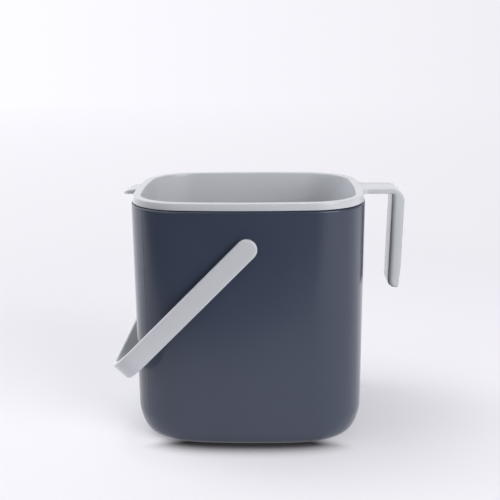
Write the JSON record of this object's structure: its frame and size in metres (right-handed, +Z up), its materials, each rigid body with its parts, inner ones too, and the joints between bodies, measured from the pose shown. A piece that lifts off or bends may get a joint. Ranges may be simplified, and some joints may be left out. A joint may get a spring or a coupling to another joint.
{
  "type": "compost caddy",
  "caption": "Open-topped kitchen compost caddy: rounded outer bin with a swinging strap bail, and a lift-out inner bucket with a hook handle and finger lip.",
  "frame": {"origin": "centre of the base, on the plane the foot ring stands on", "axes": "+Z up, +X towards the hook handle, +Y towards the back"},
  "size_m": [0.2499, 0.185, 0.2104],
  "materials": {
    "outer_bin": "satin slate blue",
    "inner_bucket": "satin light grey",
    "bail_handle": "satin light grey"
  },
  "bodies": {
    "bin": {"outer_bin": "outer_bin"},
    "bucket": {"inner_bucket": "inner_bucket", "bucket_rim": "inner_bucket"},
    "bail": {"bail_handle": "bail_handle"}
  },
  "joints": [
    {"name": "bail_swing", "type": "hinge", "parent": "bin", "child": "bail", "pos_m": [0, 0, 0.174], "axis": [0, 1, 0], "range_deg": [0, 270]},
    {"name": "bucket_lift", "type": "slide", "parent": "bin", "child": "bucket", "axis": [0, 0, 1], "range_m": [0, 0.2]}
  ]
}
